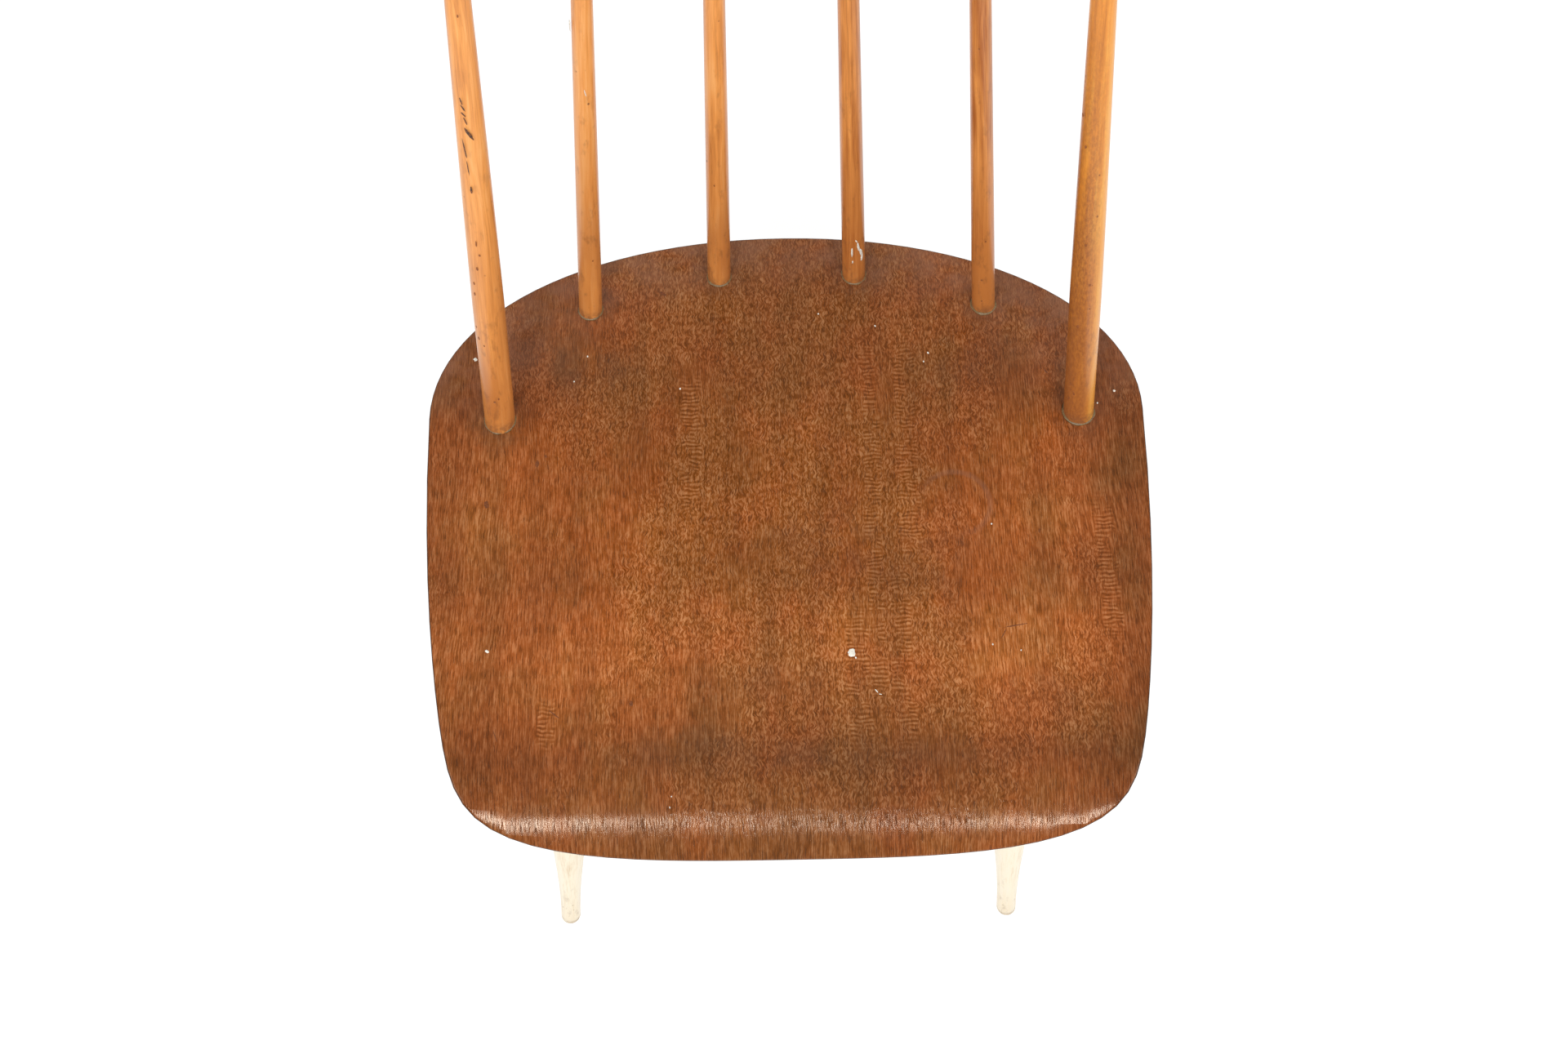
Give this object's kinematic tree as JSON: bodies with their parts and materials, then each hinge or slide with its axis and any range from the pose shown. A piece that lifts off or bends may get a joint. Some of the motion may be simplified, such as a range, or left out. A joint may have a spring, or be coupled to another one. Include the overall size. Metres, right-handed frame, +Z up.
{
  "type": "spindle-back chair with a moulded plywood seat",
  "caption": "Armless side chair: moulded plywood seat with a rolled front edge, turned splayed legs, and turned sticks under a bent crest rail.",
  "frame": {"origin": "on the floor under the middle of the chair's bounding box", "axes": "+Z up, -Y the way the sitter faces, +X the sitter's left, so left in a node's name is the side seen at the left from in front"},
  "size_m": [0.4356, 0.4409, 0.879],
  "materials": {
    "seat_veneer": "red-brown veneer with dark pores, satin lacquer worn and grimed, a few white paint specks",
    "stick_wood": "amber lacquered birch, darker and dirty at the lower ends",
    "rail_wood": "red-brown stained rail, satin lacquer",
    "block_wood": "plain sanded beech, aged",
    "leg_wood": "pale lacquered birch, scuffed at the feet",
    "screw_steel": "dull zinc-plated steel with a little tarnish"
  },
  "bodies": {
    "root": {"seat": "seat_veneer", "post_left": "stick_wood", "post_right": "stick_wood", "stick_outer_left": "stick_wood", "stick_inner_left": "stick_wood", "stick_inner_right": "stick_wood", "stick_outer_right": "stick_wood", "crest_rail": "rail_wood", "back_block": "block_wood", "front_bearer": "block_wood", "leg_front_left": "leg_wood", "leg_front_right": "leg_wood", "leg_rear_left": "leg_wood", "leg_rear_right": "leg_wood", "stretcher_left": "leg_wood", "stretcher_right": "leg_wood", "stretcher_cross": "leg_wood", "back_block_screws": "screw_steel", "front_bearer_screws": "screw_steel"}
  },
  "joints": []
}
